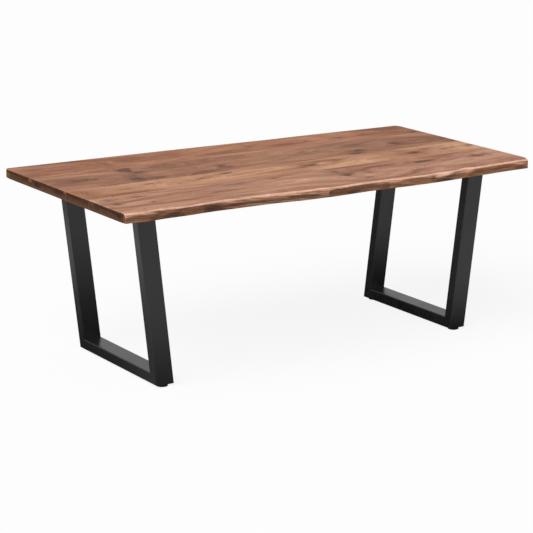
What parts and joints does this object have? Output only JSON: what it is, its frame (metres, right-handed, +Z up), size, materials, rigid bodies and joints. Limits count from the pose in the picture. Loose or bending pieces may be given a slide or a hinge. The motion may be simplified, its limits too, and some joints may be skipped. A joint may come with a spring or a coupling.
{
  "type": "live-edge table",
  "caption": "Long rectangular table with a solid glued-board wood top, live edges, two leaning U frames of flat black steel tube and screw-in levelling feet.",
  "frame": {"origin": "on the floor under the middle of the top's overall outline", "axes": "+X along the table's length, +Y from the waviest live edge at the front to the straighter one at the rear, +Z up"},
  "size_m": [1.965, 1.0317, 0.76],
  "materials": {
    "oiled_wood": "oiled, satin",
    "black_powder_coat": "satin powder coat",
    "black_screw_steel": "black zinc",
    "zinc_steel": "zinc plated",
    "black_plastic": "moulded, fine grain",
    "dark_rubber": "matt"
  },
  "bodies": {
    "table": {"rear_board": "oiled_wood", "rear_inner_board": "oiled_wood", "front_inner_board": "oiled_wood", "front_board": "oiled_wood", "left_bottom_bar": "black_powder_coat", "left_mounting_plate": "black_powder_coat", "left_screws": "black_screw_steel", "left_washers": "black_screw_steel", "left_threaded_inserts": "zinc_steel", "left_front_post": "black_powder_coat", "left_rear_post": "black_powder_coat", "left_front_rivet_nut": "zinc_steel", "left_rear_rivet_nut": "zinc_steel", "right_bottom_bar": "black_powder_coat", "right_mounting_plate": "black_powder_coat", "right_screws": "black_screw_steel", "right_washers": "black_screw_steel", "right_threaded_inserts": "zinc_steel", "right_front_post": "black_powder_coat", "right_rear_post": "black_powder_coat", "right_front_rivet_nut": "zinc_steel", "right_rear_rivet_nut": "zinc_steel"},
    "left_front_pad": {"left_front_foot_pad": "black_plastic", "left_front_foot_sole": "dark_rubber"},
    "left_front_stud": {"left_front_foot_stud": "zinc_steel"},
    "left_rear_pad": {"left_rear_foot_pad": "black_plastic", "left_rear_foot_sole": "dark_rubber"},
    "left_rear_stud": {"left_rear_foot_stud": "zinc_steel"},
    "right_front_pad": {"right_front_foot_pad": "black_plastic", "right_front_foot_sole": "dark_rubber"},
    "right_front_stud": {"right_front_foot_stud": "zinc_steel"},
    "right_rear_pad": {"right_rear_foot_pad": "black_plastic", "right_rear_foot_sole": "dark_rubber"},
    "right_rear_stud": {"right_rear_foot_stud": "zinc_steel"}
  },
  "joints": [
    {"name": "left_front_foot_height", "type": "slide", "parent": "table", "child": "left_front_pad", "axis": [0, 0, -1], "range_m": [0, 0.012]},
    {"name": "left_front_foot_screw", "type": "hinge", "parent": "left_front_pad", "child": "left_front_stud", "pos_m": [-0.7165, -0.286, 0.01], "axis": [0, 0, -1], "range_deg": [0, 3457]},
    {"name": "left_rear_foot_height", "type": "slide", "parent": "table", "child": "left_rear_pad", "axis": [0, 0, -1], "range_m": [0, 0.012]},
    {"name": "left_rear_foot_screw", "type": "hinge", "parent": "left_rear_pad", "child": "left_rear_stud", "pos_m": [-0.7165, 0.286, 0.01], "axis": [0, 0, -1], "range_deg": [0, 3457]},
    {"name": "right_front_foot_height", "type": "slide", "parent": "table", "child": "right_front_pad", "axis": [0, 0, -1], "range_m": [0, 0.012]},
    {"name": "right_front_foot_screw", "type": "hinge", "parent": "right_front_pad", "child": "right_front_stud", "pos_m": [0.7515, -0.286, 0.01], "axis": [0, 0, -1], "range_deg": [0, 3457]},
    {"name": "right_rear_foot_height", "type": "slide", "parent": "table", "child": "right_rear_pad", "axis": [0, 0, -1], "range_m": [0, 0.012]},
    {"name": "right_rear_foot_screw", "type": "hinge", "parent": "right_rear_pad", "child": "right_rear_stud", "pos_m": [0.7515, 0.286, 0.01], "axis": [0, 0, -1], "range_deg": [0, 3457]}
  ],
  "couplings": [
    {"joint": "left_front_foot_screw", "follows": "left_front_foot_height", "rad_per_m": 5026.5},
    {"joint": "left_rear_foot_screw", "follows": "left_rear_foot_height", "rad_per_m": 5026.5},
    {"joint": "right_front_foot_screw", "follows": "right_front_foot_height", "rad_per_m": 5026.5},
    {"joint": "right_rear_foot_screw", "follows": "right_rear_foot_height", "rad_per_m": 5026.5}
  ]
}
